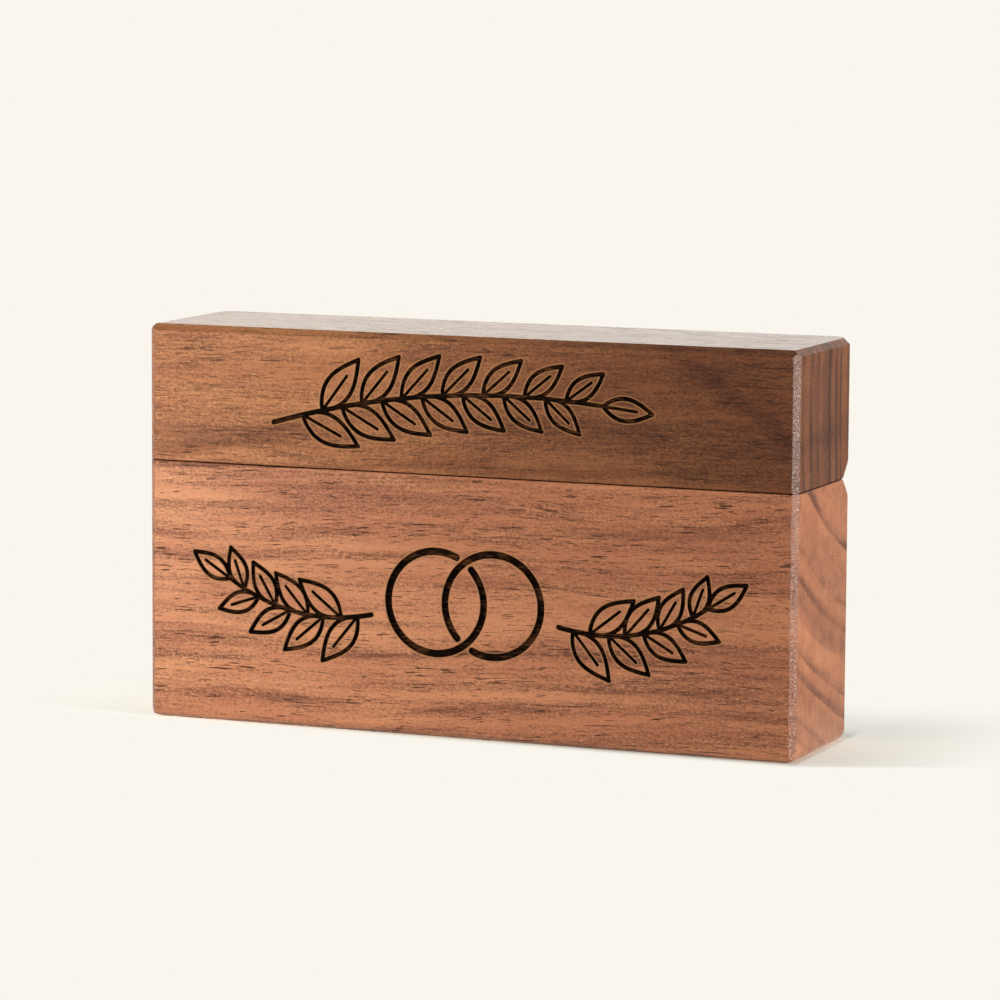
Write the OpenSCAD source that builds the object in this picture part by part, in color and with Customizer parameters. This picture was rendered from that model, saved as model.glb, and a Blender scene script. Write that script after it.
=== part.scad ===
// Slim ring box: a solid walnut base and lid on two concealed barrel hinges.
// The origin is at the middle of the underside, +Z is up and the front faces -Y.
// Lengths are in millimetres and angles in degrees.

/* [Box] */
// Width of the box, end to end
box_w = 100; // [90:1:130]
// Depth of the box, front to back
box_d = 25; // [23:0.5:36]
// Height of the base, from the underside to the parting plane
base_h = 38; // [34:1:60]
// Height of the lid, from the parting plane to the top
lid_h = 20; // [17:1:34]
// Chamfer along the front upright edges and around the top
edge_chamfer = 0.9; // [0.4:0.1:1.6]
// Radius of the two upright edges at the back
back_radius = 3.2; // [2:0.1:4.5]
// Roundover around the underside
foot_radius = 1.6; // [0.6:0.1:1.9]
// Eased edge where lid and base meet
arris = 0.2; // [0.1:0.05:0.4]

/* [Hinge line] */
// Distance from the back face to the hinge axis, which is the depth of the notch
notch = 5; // [4:0.25:6]
// How far the lid opens
open_angle = 90; // [75:1:95]
// Spare angle on each bevel, so that the bevels stay clear of each other when the lid is open
bevel_relief = 1; // [0.5:0.25:3]

/* [Ring bay] */
// Thickness of the wall in front of the bay
front_wall = 5.5; // [4:0.25:6.5]
// Flat land between the bay and the hinge axis
back_land = 2; // [1:0.25:3]
// Thickness of the solid wood at each end of the bay
end_wall = 13; // [10:0.5:16]
// Radius in the upright corners of the bay
bay_corner = 2.5; // [1.5:0.1:3.5]
// Depth of the bay in the base
base_bay = 27; // [24:1:30]
// Depth of the bay in the lid
lid_bay = 13; // [10:0.5:14]

/* [Barrel hinges] */
// Diameter of a hinge barrel
barrel_d = 5; // [4.4:0.1:6]
// Length of a hinge barrel
barrel_len = 10; // [8:0.5:12]
// Glue gap around a barrel or a magnet
glue_gap = 0.05; // [0.02:0.01:0.1]
// Lead-in chamfer at the buried end of a barrel
barrel_lead = 0.4; // [0.2:0.05:0.8]
// Number of glue grooves around a barrel
barrel_grooves = 3; // [1:1:4]
// Depth of a glue groove
groove_depth = 0.2; // [0.1:0.05:0.3]
// Thickness of one hinge leaf
leaf_t = 0.6; // [0.4:0.05:0.7]
// Side play beside each leaf
leaf_gap = 0.05; // [0.03:0.01:0.1]
// Radius of the rounded end of a leaf
knuckle_r = 1; // [0.9:0.05:1.2]
// Diameter of the hinge pins
pin_d = 1; // [0.8:0.05:1.2]
// Running clearance around the pivot pin, on the radius
pivot_clearance = 0.04; // [0.02:0.01:0.08]
// Fixing clearance around a pressed pin, on the radius
pin_fit = 0.01; // [0.01:0.005:0.03]
// Distance of a cross pin from the hinge axis
pin_inset = 2.8; // [2.5:0.1:3.2]
// Clearance at the bottom of the leaf slot
slot_clearance = 0.4; // [0.2:0.1:0.8]

/* [Magnets] */
// Diameter of a closing magnet
magnet_d = 5; // [4:0.25:6]
// Thickness of a closing magnet
magnet_t = 2; // [1.5:0.25:3]
// Distance from the front face to the middle of a magnet
magnet_inset = 6.5; // [5.5:0.25:8]
// Recess of a magnet under the wood
magnet_recess = 0.1; // [0.05:0.05:0.3]
// Chamfer on the rims of a magnet
magnet_rim = 0.2; // [0.1:0.05:0.4]

/* [Cushion] */
// Height of the ring cushions
roll_h = 21; // [17:0.5:23]
// Slit between the two ring cushions
roll_slit = 1.2; // [0.6:0.1:2]
// Thickness of the velvet cover
cover_t = 0.8; // [0.5:0.1:1]
// Room between the velvet cover and its foam core
core_gap = 0.05; // [0.03:0.01:0.1]
// Room between a lining piece and the wall of the bay
lining_gap = 0.15; // [0.1:0.05:0.3]
// Thickness of the lining pad in the lid
pad_t = 1.5; // [1:0.1:2.5]

/* [Hidden] */
$fn = 64;
// How far a cut runs past the piece that it cuts
over = 1;
// A round stands this far proud of tangency, so that it meets its flat faces in clean lines
proud = 0.02;
// A bore on the hinge axis is turned by half a facet, so that none of its edges lies on the bevel's edge
half_facet = 180 / $fn;
walnut_base = "sienna";
walnut_lid = "saddlebrown";
brass = "goldenrod";
steel = "silver";
nickel = "lightgray";
velvet = "dimgray";
foam = "gainsboro";

half_w = box_w / 2;
half_d = box_d / 2;

// Hinge line
axis_y = half_d - notch;
bevel_angle = open_angle / 2 + bevel_relief;
hinge_x = half_w - end_wall / 2;
slot_w = 3 * leaf_t + 4 * leaf_gap;
slot_depth = pin_inset + knuckle_r + slot_clearance;
groove_pitch = (barrel_len - slot_depth - barrel_lead) / (barrel_grooves + 1);

// Ring bay
bay_w = box_w - 2 * end_wall;
bay_front = -half_d + front_wall;
bay_back = axis_y - back_land;
bay_d = bay_back - bay_front;
bay_y = (bay_front + bay_back) / 2;
bay_floor = base_h - base_bay;
bay_ceiling = base_h + lid_bay;

// Cushions
roll_t = (bay_d - roll_slit) / 2 - lining_gap;
roll_y = (roll_slit + roll_t) / 2;

magnet_y = -half_d + magnet_inset;

// Outlines and prisms that the pieces share

// A flat outline drawn across the YZ plane and carried along X
module along_x(length) {
    rotate([90, 0, 90]) linear_extrude(length, center = true) children();
}

// A flat outline drawn across the XZ plane and carried along Y
module along_y(length) {
    rotate([90, 0, 0]) linear_extrude(length, center = true) children();
}

// Turns what is drawn below the parting plane into its mirror image above it
module in_lid() {
    mirror([0, 0, 1]) children();
}

// What a roundover takes off a corner whose point is at the origin
module round_cut(r) {
    difference() {
        translate([-r, -over]) square(r + over);
        translate([proud - r, r - proud]) circle(r);
    }
}

// What a chamfer takes off a corner whose point is at the origin
module chamfer_cut(c) {
    polygon([[-c - over, -over], [over, c + over], [over, -over]]);
}

// Upright outline of a block: w wide and h high, standing on the origin
module slab_outline(w, h, foot_r, foot_c, top_c) {
    difference() {
        translate([-w / 2, 0]) square([w, h]);
        for (side = [0, 1]) mirror([side, 0]) {
            translate([w / 2, 0]) {
                if (foot_r > 0) round_cut(foot_r);
                if (foot_c > 0) chamfer_cut(foot_c);
            }
            translate([w / 2, h]) mirror([0, 1]) chamfer_cut(top_c);
        }
    }
}

// What rounding takes off an upright back edge, with the worked edges carried around it
module back_corner_cut(h, foot_r, foot_c, top_c) {
    span = back_radius + over;
    translate([half_w - back_radius, half_d - back_radius, 0]) difference() {
        translate([0, 0, -over]) cube([span, span, h + 2 * over]);
        translate([proud, proud, 0]) rotate_extrude() {
            intersection() {
                slab_outline(2 * back_radius, h, foot_r, foot_c, top_c);
                square([back_radius, h]);
            }
            translate([0, -2 * over]) square([back_radius - max(foot_r, foot_c), h / 2 + 2 * over]);
            translate([0, h / 2]) square([back_radius - top_c, h / 2 + 2 * over]);
        }
    }
}

// A solid block of wood standing on z = 0, with its edges worked
module block(h, foot_r, foot_c, top_c) {
    difference() {
        intersection() {
            along_x(box_w + 2 * over) slab_outline(box_d, h, foot_r, foot_c, top_c);
            along_y(box_d + 2 * over) slab_outline(box_w, h, foot_r, foot_c, top_c);
        }
        for (side = [0, 1]) mirror([side, 0, 0]) {
            translate([half_w, -half_d, -over]) linear_extrude(h + 2 * over)
                chamfer_cut(edge_chamfer);
            back_corner_cut(h, foot_r, foot_c, top_c);
        }
    }
}

// What the bevel behind the hinge axis takes off the base, with the axis at the origin
module bevel_cut(length) {
    slope = tan(bevel_angle);
    back = notch + over;
    along_x(length) polygon([[-over, over * slope], [back, -back * slope], [back, over * slope]]);
}

// Plan of the ring bay, drawn in from its walls
module bay_plan(inset) {
    w = bay_w - 2 * inset;
    d = bay_d - 2 * inset;
    translate([0, bay_y]) difference() {
        square([w, d], center = true);
        for (x = [0, 1], y = [0, 1]) mirror([x, 0]) mirror([0, y])
            translate([w / 2, -d / 2]) round_cut(bay_corner - inset);
    }
}

// Bores for the barrels and the magnets in a block, cut down from its parting face at z = 0
module hardware_bores() {
    for (side = [-1, 1]) {
        translate([side * hinge_x, axis_y, -barrel_len - glue_gap]) rotate(half_facet)
            cylinder(d = barrel_d + 2 * glue_gap, h = barrel_len + glue_gap + over);
        translate([side * hinge_x, magnet_y, -magnet_t - magnet_recess])
            cylinder(d = magnet_d + 2 * glue_gap, h = magnet_t + magnet_recess + over);
    }
}

// Walnut blocks

module base_block() {
    color(walnut_base) difference() {
        block(base_h, foot_radius, 0, arris);
        translate([0, 0, bay_floor]) linear_extrude(base_bay + over) bay_plan(0);
        translate([0, axis_y, base_h]) bevel_cut(box_w + 2 * over);
        translate([0, 0, base_h]) hardware_bores();
    }
}

module lid_block() {
    color(walnut_lid) difference() {
        translate([0, 0, base_h]) block(lid_h, 0, arris, edge_chamfer);
        translate([0, 0, base_h - over]) linear_extrude(lid_bay + over) bay_plan(0);
        translate([0, axis_y, base_h]) in_lid() bevel_cut(box_w + 2 * over);
        translate([0, 0, base_h]) in_lid() hardware_bores();
    }
}

// Barrel hinges: each piece is drawn below the axis, as it sits in the base

// Puts a hinge piece on its axis, on the left (-1) or the right (1)
module at_hinge(side) {
    translate([side * hinge_x, axis_y, base_h]) children();
}

module cross_hole(d) {
    rotate([0, 90, 0]) cylinder(d = d, h = 2 * barrel_d, center = true);
}

module barrel() {
    color(brass) difference() {
        rotate(half_facet) rotate_extrude() polygon([
            [0, -barrel_len], [barrel_d / 2 - barrel_lead, -barrel_len],
            [barrel_d / 2, barrel_lead - barrel_len], [barrel_d / 2, 0], [0, 0],
        ]);
        translate([-slot_w / 2, -barrel_d, -slot_depth])
            cube([slot_w, 2 * barrel_d, slot_depth + over]);
        translate([0, 0, -pin_inset]) cross_hole(pin_d + 2 * pin_fit);
        bevel_cut(2 * barrel_d);
        for (i = [1 : barrel_grooves])
            translate([0, 0, barrel_lead - barrel_len + i * groove_pitch]) glue_groove();
    }
}

module glue_groove() {
    rotate_extrude() translate([barrel_d / 2 - groove_depth, -groove_depth / 2])
        square([groove_depth + over, groove_depth]);
}

// A leaf hangs from the pivot to its cross pin
module leaf(pivot_hole_d) {
    color(brass) along_x(leaf_t) difference() {
        union() {
            circle(knuckle_r);
            translate([0, -pin_inset]) circle(knuckle_r);
            translate([-knuckle_r, -pin_inset]) square([2 * knuckle_r, pin_inset]);
        }
        circle(d = pivot_hole_d);
        translate([0, -pin_inset]) circle(d = pin_d + 2 * pin_fit);
    }
}

// The base has two leaves, one on each side of the lid's single leaf
module base_leaf(across) {
    translate([across * (leaf_t + leaf_gap), 0, 0]) leaf(pin_d + 2 * pin_fit);
}

module lid_leaf() {
    in_lid() leaf(pin_d + 2 * pivot_clearance);
}

module pivot_pin() {
    color(steel) rotate([0, 90, 0])
        cylinder(d = pin_d, h = 3 * leaf_t + 2 * leaf_gap, center = true);
}

// The cross pin ends just under the round of the barrel
module cross_pin() {
    flush_len = sqrt(pow(barrel_d, 2) - pow(pin_d, 2)) - 2 * pin_fit;
    color(steel) translate([0, 0, -pin_inset]) rotate([0, 90, 0])
        cylinder(d = pin_d, h = flush_len, center = true);
}

// Closing magnets

module magnet() {
    r = magnet_d / 2;
    rim_r = r - magnet_rim;
    color(nickel) translate([0, 0, -magnet_recess - magnet_t]) rotate_extrude() polygon([
        [0, 0], [rim_r, 0], [r, magnet_rim],
        [r, magnet_t - magnet_rim], [rim_r, magnet_t], [0, magnet_t],
    ]);
}

module at_magnet(side) {
    translate([side * hinge_x, magnet_y, base_h]) children();
}

// Cushions and lining

// Round-topped cushion on the bay floor, drawn in by inset and lowered by drop
module roll(side, inset, drop) {
    crown_r = roll_t / 2;
    intersection() {
        translate([0, bay_y + side * roll_y, bay_floor]) along_x(bay_w) {
            translate([0, roll_h - crown_r]) circle(crown_r - inset);
            translate([inset - crown_r, -drop])
                square([roll_t - 2 * inset, roll_h - crown_r + drop]);
        }
        translate([0, 0, bay_floor - drop]) linear_extrude(roll_h + drop)
            bay_plan(lining_gap + inset);
    }
}

module roll_cover(side) {
    color(velvet) difference() {
        roll(side, 0, 0);
        roll(side, cover_t, over);
    }
}

module roll_core(side) {
    color(foam) roll(side, cover_t + core_gap, 0);
}

module lid_lining() {
    color(velvet) translate([0, 0, bay_ceiling - pad_t]) linear_extrude(pad_t)
        bay_plan(lining_gap);
}

base_block();
lid_block();
at_hinge(-1) barrel();  // left_base_barrel
at_hinge(1) barrel();  // right_base_barrel
at_hinge(-1) in_lid() barrel();  // left_lid_barrel
at_hinge(1) in_lid() barrel();  // right_lid_barrel
at_hinge(-1) base_leaf(1);  // left_base_leaf_inner
at_hinge(-1) base_leaf(-1);  // left_base_leaf_outer
at_hinge(1) base_leaf(-1);  // right_base_leaf_inner
at_hinge(1) base_leaf(1);  // right_base_leaf_outer
at_hinge(-1) lid_leaf();  // left_lid_leaf
at_hinge(1) lid_leaf();  // right_lid_leaf
at_hinge(-1) pivot_pin();  // left_pivot_pin
at_hinge(1) pivot_pin();  // right_pivot_pin
at_hinge(-1) cross_pin();  // left_base_cross_pin
at_hinge(1) cross_pin();  // right_base_cross_pin
at_hinge(-1) in_lid() cross_pin();  // left_lid_cross_pin
at_hinge(1) in_lid() cross_pin();  // right_lid_cross_pin
at_magnet(-1) magnet();  // left_base_magnet
at_magnet(1) magnet();  // right_base_magnet
at_magnet(-1) in_lid() magnet();  // left_lid_magnet
at_magnet(1) in_lid() magnet();  // right_lid_magnet
roll_cover(-1);  // front_roll_cover
roll_cover(1);  // back_roll_cover
roll_core(-1);  // front_roll_core
roll_core(1);  // back_roll_core
lid_lining();
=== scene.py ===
# %% [markdown]
# A slim ring box: a solid walnut base and lid that turn on two concealed barrel hinges, with a velvet
# ring bay inside. The exact solids arrive packed as a fixed frame, in metres. This lesson leaves their
# sizes alone and gives every piece the surface that the real one has.

# %% Load the frame
import math

import bmesh
import bpy
import numpy as np
from mathutils import Matrix, Vector
from mathutils.geometry import delaunay_2d_cdt


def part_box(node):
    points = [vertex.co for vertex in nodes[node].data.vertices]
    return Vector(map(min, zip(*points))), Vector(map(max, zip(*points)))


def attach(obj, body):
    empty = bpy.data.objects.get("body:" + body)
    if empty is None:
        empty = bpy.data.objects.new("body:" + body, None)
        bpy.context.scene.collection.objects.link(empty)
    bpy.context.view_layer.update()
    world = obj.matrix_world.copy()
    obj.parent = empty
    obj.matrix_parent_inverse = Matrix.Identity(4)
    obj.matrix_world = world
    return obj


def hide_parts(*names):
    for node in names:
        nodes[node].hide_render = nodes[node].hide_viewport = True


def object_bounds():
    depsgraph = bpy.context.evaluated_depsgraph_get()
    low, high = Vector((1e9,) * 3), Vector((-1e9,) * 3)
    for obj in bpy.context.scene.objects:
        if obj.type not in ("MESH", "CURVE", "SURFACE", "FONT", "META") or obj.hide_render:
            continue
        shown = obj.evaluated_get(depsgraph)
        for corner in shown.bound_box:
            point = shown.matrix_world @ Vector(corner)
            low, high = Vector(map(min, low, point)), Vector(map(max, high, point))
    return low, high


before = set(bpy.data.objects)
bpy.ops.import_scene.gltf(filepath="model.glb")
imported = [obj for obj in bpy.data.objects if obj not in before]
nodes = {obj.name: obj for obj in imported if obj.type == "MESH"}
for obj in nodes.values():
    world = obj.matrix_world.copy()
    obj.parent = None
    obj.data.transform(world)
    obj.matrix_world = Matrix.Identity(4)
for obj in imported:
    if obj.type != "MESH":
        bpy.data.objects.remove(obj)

MM = 0.001
cad_low, cad_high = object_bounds()
scene = bpy.context.scene
scene.view_settings.view_transform = "Standard"
print("frame:", len(nodes), "nodes, box", [round(x / MM, 2) for x in (cad_high - cad_low)], "mm")

# %% [markdown]
# The camera stands in front of the box, a little to its right and above it, with a long lens, so the
# upright edges stay almost parallel. Its place could be found by eye. Here the corners of the box were
# fitted to the picture instead, which gives a place, three angles and a focal length in pixels.

# %% Camera
IMAGE = 1000
FOCAL_PIXELS = 4834.0
SENSOR = 36.0
YAW, PITCH, ROLL = (math.radians(a) for a in (22.156, 7.157, 0.3456))
EYE = Vector((262.55, -643.86, 120.54)) * MM

forward = Vector((-math.sin(YAW) * math.cos(PITCH), math.cos(YAW) * math.cos(PITCH), -math.sin(PITCH)))
level = Vector((math.cos(YAW), math.sin(YAW), 0.0))
above = level.cross(forward)
across = level * math.cos(ROLL) + above * math.sin(ROLL)
upward = above * math.cos(ROLL) - level * math.sin(ROLL)

lens = bpy.data.cameras.new("camera")
lens.sensor_width = SENSOR
lens.lens = SENSOR * FOCAL_PIXELS / IMAGE
lens.clip_start, lens.clip_end = 0.01, 100.0
camera = bpy.data.objects.new("camera", lens)
camera.matrix_world = Matrix.Translation(EYE) @ Matrix((across, upward, -forward)).transposed().to_4x4()
scene.collection.objects.link(camera)
scene.camera = camera
print("camera: lens", round(lens.lens, 1), "mm at", [round(x / MM) for x in EYE], "mm")

# %% [markdown]
# Shader trees get long when every node is placed by hand. A few short helpers keep the recipes readable:
# one adds a node and fills or links its inputs, and the others are the sums, ramps, noises and mixes that
# wood needs.


# %% Node helpers
def add_node(tree, kind, inputs=(), **settings):
    """Adds one node. settings are its own properties, and inputs gives each socket a value or a link."""
    made = tree.nodes.new("ShaderNode" + kind)
    for name, value in settings.items():
        setattr(made, name, value)
    for key, value in dict(inputs).items():
        if isinstance(value, bpy.types.NodeSocket):
            tree.links.new(value, made.inputs[key])
        else:
            made.inputs[key].default_value = value
    return made


def sums(tree, operation, *values):
    """One Math node on the given values."""
    return add_node(tree, "Math", enumerate(values), operation=operation).outputs[0]


def total(tree, *values):
    """Adds any number of values."""
    whole = values[0]
    for value in values[1:]:
        whole = sums(tree, "ADD", whole, value)
    return whole


def about(tree, value, amount):
    """A noise as a step up and down around nought, amount from lowest to highest."""
    return sums(tree, "MULTIPLY", sums(tree, "SUBTRACT", value, 0.5), amount)


def long_side(tree, first, second):
    """The long side of a right triangle with these two short sides."""
    squares = [sums(tree, "MULTIPLY", side, side) for side in (first, second)]
    return sums(tree, "SQRT", sums(tree, "ADD", *squares))


def vectors(tree, operation, *values):
    """One Vector Math node on the given vectors."""
    return add_node(tree, "VectorMath", enumerate(values), operation=operation).outputs[0]


def parts_of(tree, vector):
    """The x, y and z of a vector."""
    return add_node(tree, "SeparateXYZ", {0: vector}).outputs


def joined(tree, *parts):
    """A vector from its x, y and z. A part that isn't given is 0."""
    return add_node(tree, "CombineXYZ", enumerate(parts)).outputs[0]


def ramp(tree, value, low, high, out_low=0.0, out_high=1.0):
    """A smooth step: out_low where value is at most low, out_high where it is at least high."""
    inputs = enumerate((value, low, high, out_low, out_high))
    return add_node(tree, "MapRange", inputs, interpolation_type="SMOOTHSTEP").outputs[0]


def mix(tree, share, first, second, blend="MIX"):
    """Mixes two colours."""
    inputs = {0: share, 6: first, 7: second}
    return add_node(tree, "Mix", inputs, data_type="RGBA", blend_type=blend).outputs[2]


def noise(tree, place, blob, seed=0.0, detail=2.0):
    """Noise from 0 to 1 whose blobs measure about blob along x, y and z, in the units of place."""
    shifted = vectors(tree, "ADD", vectors(tree, "DIVIDE", place, blob), (seed, seed * 1.7, seed * 2.3))
    return add_node(tree, "TexNoise", {"Vector": shifted, "Scale": 1.0, "Detail": detail}).outputs[0]


def place_in_mm(tree):
    """The point on the piece, in millimetres of the shared frame."""
    return vectors(tree, "MULTIPLY", add_node(tree, "TexCoord").outputs["Object"], (1 / MM,) * 3)


def new_material(name, **constants):
    """A material with one Principled shader. constants are its plain sockets by name."""
    material = bpy.data.materials.new(name)
    material.use_nodes = True
    shader = material.node_tree.nodes["Principled BSDF"]
    for socket, value in constants.items():
        shader.inputs[socket.replace("_", " ")].default_value = value
    return material, material.node_tree, shader


def dress(tree, shader, colour, rough, height, strength, depth):
    """Links a colour and a roughness to the shader, and a height as relief of the given depth in mm."""
    bump = add_node(tree, "Bump", {"Strength": strength, "Distance": depth * MM, "Height": height})
    for value, socket in ((colour, "Base Color"), (rough, "Roughness"), (bump.outputs[0], "Normal")):
        tree.links.new(value, shader.inputs[socket])


def linear(red, green, blue):
    """A colour given as 0 to 255 on a screen, as the light values that a shader takes."""
    screen = np.array((red, green, blue)) / 255
    light = np.where(screen <= 0.04045, screen / 12.92, ((screen + 0.055) / 1.055) ** 2.4)
    return (*light, 1.0)


print("node helpers ready")

# %% [markdown]
# The box stands on a seamless cream sheet. A real sheet shows no horizon and only a faint shadow, because
# light comes back from everywhere. So the floor mixes plain cream, which camera and mirror rays see, with
# a lit cream close to the box that takes the shadow. The share of lit cream fades with the distance from
# the footprint, fast in front and slowly elsewhere, and the shadow leans back a little on the right. A
# gain for each corner of the footprint makes up for lamp light that falls off, so lit and plain cream
# meet softly.

# %% Floor
CREAM = linear(250, 246, 237)
FLOOR_HALF = 12.0
LIT_CREAM = linear(240, 236, 228)
COOLED_CREAM = np.array(linear(222, 234, 231))
LEFT_GAINS, RIGHT_GAINS = (2.50, 3.15), (1.55, 2.20)
SHADOW_SHARE, SHADOW_FADE = 0.58, 30 * MM
CLEAR_FRONT = 12.0
SHADOW_LEAN = 0.40
CONTACT = 6 * MM
MIRRORED_FLOOR = 0.24


def kinds_of_ray(tree):
    """Two values: 1 for a camera ray, and 1 for a mirror or glass ray."""
    path = add_node(tree, "LightPath").outputs
    return path["Is Camera Ray"], sums(tree, "MAXIMUM", path["Is Glossy Ray"], path["Is Transmission Ray"])


sheet_mesh = bpy.data.meshes.new("floor")
sheet_mesh.from_pydata([(x, y, 0.0) for x, y in ((-1, -1), (1, -1), (1, 1), (-1, 1))], [], [(0, 1, 2, 3)])
sheet_mesh.transform(Matrix.Diagonal((FLOOR_HALF, FLOOR_HALF, 1.0, 1.0)))
floor = bpy.data.objects.new("floor", sheet_mesh)
scene.collection.objects.link(floor)

cream = bpy.data.materials.new("cream_sheet")
cream.use_nodes = True
tree = cream.node_tree
tree.nodes.clear()
x, y, _ = parts_of(tree, add_node(tree, "TexCoord").outputs["Object"])


def past_edge(along, low, high, hurry):
    """How far a point lies outside the footprint along one axis, counted hurry times on the low side."""
    below = sums(tree, "MULTIPLY", sums(tree, "SUBTRACT", low, along), hurry)
    return sums(tree, "MAXIMUM", sums(tree, "MAXIMUM", below, sums(tree, "SUBTRACT", along, high)), 0.0)


to_right = sums(tree, "MAXIMUM", sums(tree, "SUBTRACT", x, cad_high.x), 0.0)
straightened = sums(tree, "SUBTRACT", y, sums(tree, "MULTIPLY", to_right, SHADOW_LEAN))
past_x = past_edge(x, cad_low.x, cad_high.x, 1.0)
past_y = past_edge(straightened, cad_low.y, cad_high.y, CLEAR_FRONT)
faded = ramp(tree, long_side(tree, past_x, past_y), 0.0, SHADOW_FADE, 1 - SHADOW_SHARE, 1.0)
from_foot = sums(tree, "MULTIPLY_ADD", past_x, CLEAR_FRONT, past_y)
plain_share = sums(tree, "MULTIPLY", faded, ramp(tree, from_foot, 0.0, CONTACT))
camera_ray, mirror_ray = kinds_of_ray(tree)
seen = sums(tree, "MAXIMUM", camera_ray, mirror_ray)
to_back = ramp(tree, y, cad_low.y, cad_high.y)
level_left, level_right = (mix(tree, to_back, COOLED_CREAM * front, COOLED_CREAM * back)
                           for front, back in (LEFT_GAINS, RIGHT_GAINS))
level_cream = mix(tree, ramp(tree, x, cad_low.x, cad_high.x), level_left, level_right)
lit = add_node(tree, "BsdfDiffuse", {"Color": mix(tree, seen, LIT_CREAM, level_cream)}).outputs[0]
shown = add_node(tree, "Mix", {0: camera_ray, 2: MIRRORED_FLOOR, 3: 1.0}).outputs[0]
plain = add_node(tree, "Emission", {"Color": CREAM, "Strength": shown}).outputs[0]
both = add_node(tree, "MixShader", {0: sums(tree, "MULTIPLY", plain_share, seen), 1: lit, 2: plain})
add_node(tree, "OutputMaterial", {"Surface": both.outputs[0]})
sheet_mesh.materials.append(cream)
print("floor:", 2 * FLOOR_HALF, "m wide")

# %% [markdown]
# The light is a plain studio set: a soft key close by on the left, which fades along the front, a softbox
# on the right for the end grain and the chamfer, a wide dim lamp behind, and a pale room that is brighter
# at the horizon than overhead. In mirrors the room is dim but for a pale warm wall behind the box, which
# the polished top throws back at a low angle. The lamps stay at a level where a colour renders about as
# it is written.

# %% Room and lamps
HORIZON, ZENITH = 0.34, 0.12
LOW_SKY, HIGH_SKY = 0.05, 0.75
WALL_AZIMUTH, WALL_ELEVATION = math.radians(202), math.radians(8)
WALL, DIM = 1.0, 0.28
WALL_EDGE, WALL_FULL = 0.86, 0.98
WARM_WALL = linear(252, 242, 229)


def aim(azimuth, elevation):
    """The way from the box to a place in the room. Azimuth 0 is in front, and a right angle on the right."""
    return Vector((math.sin(azimuth) * math.cos(elevation), -math.cos(azimuth) * math.cos(elevation),
                   math.sin(elevation)))


room = bpy.data.worlds.new("studio")
scene.world = room
room.use_nodes = True
tree = room.node_tree
tree.nodes.clear()
towards = add_node(tree, "TexCoord").outputs["Generated"]
height = parts_of(tree, towards)[2]
camera_ray, mirror_ray = kinds_of_ray(tree)
glow = ramp(tree, height, LOW_SKY, HIGH_SKY, HORIZON, ZENITH)
wall = aim(WALL_AZIMUTH, WALL_ELEVATION)
at_wall = add_node(tree, "VectorMath", {0: towards, 1: wall}, operation="DOT_PRODUCT").outputs["Value"]
mirrored_room = ramp(tree, at_wall, WALL_EDGE, WALL_FULL, DIM, WALL)
strength = add_node(tree, "Mix", {0: mirror_ray, 2: glow, 3: mirrored_room}).outputs[0]
strength = add_node(tree, "Mix", {0: camera_ray, 2: strength, 3: 1.0}).outputs[0]
tint = mix(tree, mirror_ray, CREAM, WARM_WALL)
sky = add_node(tree, "Background", {"Color": tint, "Strength": strength}).outputs[0]
add_node(tree, "OutputWorld", {"Surface": sky})


def softbox(name, azimuth, elevation, distance, width, tall, power, colour, mirrored=True):
    """A flat lamp that looks at the middle of the box, from an azimuth and elevation in degrees."""
    lamp = bpy.data.lights.new(name, "AREA")
    lamp.shape = "RECTANGLE"
    lamp.size, lamp.size_y = width, tall
    lamp.energy = power
    lamp.color = colour
    away = aim(math.radians(azimuth), math.radians(elevation))
    made = bpy.data.objects.new(name, lamp)
    middle = (cad_low + cad_high) / 2
    turned = away.to_track_quat("Z", "Y").to_matrix().to_4x4()
    made.matrix_world = Matrix.Translation(middle + away * distance) @ turned
    made.visible_camera = False
    made.visible_glossy = mirrored
    scene.collection.objects.link(made)


softbox("key", azimuth=-48, elevation=3, distance=0.22, width=0.15, tall=0.15, power=0.42,
        colour=(1.0, 0.97, 0.93), mirrored=False)
softbox("side", azimuth=80, elevation=6, distance=0.42, width=0.16, tall=0.14, power=1.25,
        colour=(1.0, 0.96, 0.90))
softbox("back", azimuth=202, elevation=12, distance=0.90, width=0.90, tall=0.25, power=0.60,
        colour=(1.0, 0.95, 0.91))
print("lamps: key, side and back")

# %% [markdown]
# Walnut is drawn as a solid, as it grows: rings around a pith line that runs along the box, with fibres
# and pores along the grain. Painting each face by itself would break at the edges. One node group holds
# the tree, and each block places its own pith in it.

# %% Walnut group
WALNUT_NUMBERS = ("Pith Y", "Pith Z", "Ring Spacing", "Rise", "Wander", "Seed",
                  "Late Share", "End Share", "Pore Share", "Figure")
WALNUT_COLOURS = ("Early Wood", "Late Wood", "Pore")
ROSY = (0.88, 0.82, 0.84, 1.0)
SLANT = math.radians(-35)
END_FROM, END_FULL, END_CALM = 0.5, 0.95, 0.25
LATE_FROM, LATE_PEAK = 0.25, 0.86
MIDDLE_TONE = 0.27


def new_group(name, numbers, colours, outputs):
    """A shader group with named number and colour inputs and named outputs."""
    group = bpy.data.node_groups.new(name, "ShaderNodeTree")
    inputs = {**dict.fromkeys(numbers, "Float"), **dict.fromkeys(colours, "Color")}
    for way, sockets in (("INPUT", inputs), ("OUTPUT", outputs)):
        for socket, kind in sockets.items():
            group.interface.new_socket(socket, in_out=way, socket_type="NodeSocket" + kind)
    return group, group.nodes.new("NodeGroupInput").outputs, group.nodes.new("NodeGroupOutput").inputs


walnut, given, result = new_group(
    "walnut", WALNUT_NUMBERS, WALNUT_COLOURS, {"Color": "Color", "Roughness": "Float", "Height": "Float"})


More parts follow.
